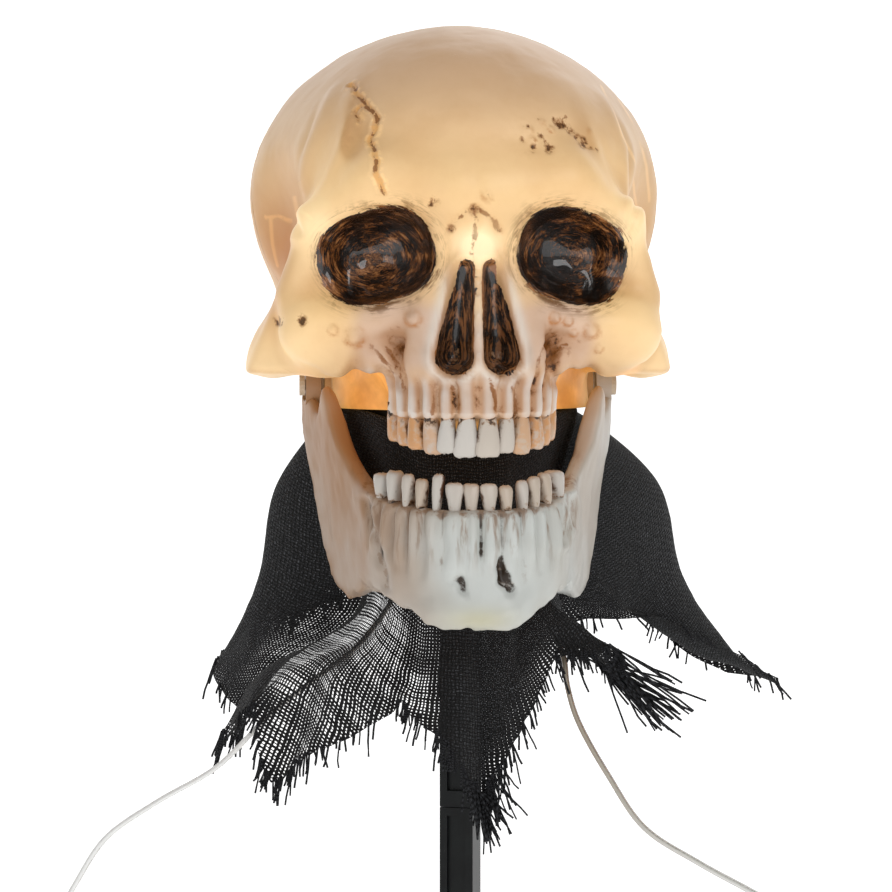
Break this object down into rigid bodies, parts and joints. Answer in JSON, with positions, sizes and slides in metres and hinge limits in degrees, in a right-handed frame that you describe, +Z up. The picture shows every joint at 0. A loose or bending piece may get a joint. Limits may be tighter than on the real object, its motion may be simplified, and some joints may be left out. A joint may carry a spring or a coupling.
{
  "type": "skull decoration on a ground stake",
  "caption": "Lit skull decoration with a hinged jaw and a ragged burlap shroud on a ground stake, with a lead cord and a link cord.",
  "frame": {"origin": "on the stake's axis at ground level", "axes": "+Z up along the stake, the face looks along -Y, +X is the viewer's right"},
  "size_m": [0.3215, 0.199, 0.4918],
  "materials": {
    "shell": "translucent, lit from inside, stained in the hollows",
    "jaw": "opaque, stained in the grooves",
    "black": "glossy",
    "holder": "matte",
    "steel": "plain",
    "brass": "plain",
    "glass": "clear",
    "wire": "smooth",
    "rubber": "matte",
    "nylon": "matte",
    "burlap": "loose plain weave, frayed",
    "tie": "matte",
    "cord": "clear, with the copper showing through",
    "plug": "clear moulded"
  },
  "bodies": {
    "stake_lower": {"stake_spike": "black"},
    "stake_upper": {"stake_pole": "black"},
    "skull": {"face_shell": "shell", "cranium_shell": "shell", "base_plate": "black", "lamp_holder": "holder", "bulb_cap": "brass", "bulb_glass": "glass", "burlap_shroud": "burlap", "shroud_tie": "tie", "lead_cord": "cord", "lead_coil": "cord", "lead_tie": "tie", "lead_plug": "plug", "plug_blade_1": "brass", "plug_blade_2": "brass", "link_cord": "cord", "link_coil": "cord", "link_tie": "tie", "link_socket": "plug", "base_screw_1": "steel", "base_screw_2": "steel", "base_screw_3": "steel", "base_screw_4": "steel", "holder_screw_1": "steel", "holder_screw_2": "steel", "wire_left": "wire", "relief_left": "rubber", "jaw_washer_left": "nylon", "jaw_pin_left": "jaw", "wire_right": "wire", "relief_right": "rubber", "jaw_washer_right": "nylon", "jaw_pin_right": "jaw"},
    "jaw": {"jaw": "jaw"}
  },
  "joints": [
    {"name": "stake_joint", "type": "slide", "parent": "stake_lower", "child": "stake_upper", "axis": [0, 0, 1], "range_m": [0, 0.03]},
    {"name": "skull_lift", "type": "slide", "parent": "stake_upper", "child": "skull", "axis": [0, 0, 1], "range_m": [0, 0.065]},
    {"name": "jaw_hinge", "type": "hinge", "parent": "skull", "child": "jaw", "pos_m": [0, 0.012, 0.228], "axis": [1, 0, 0], "range_deg": [-6.5, 8]}
  ]
}
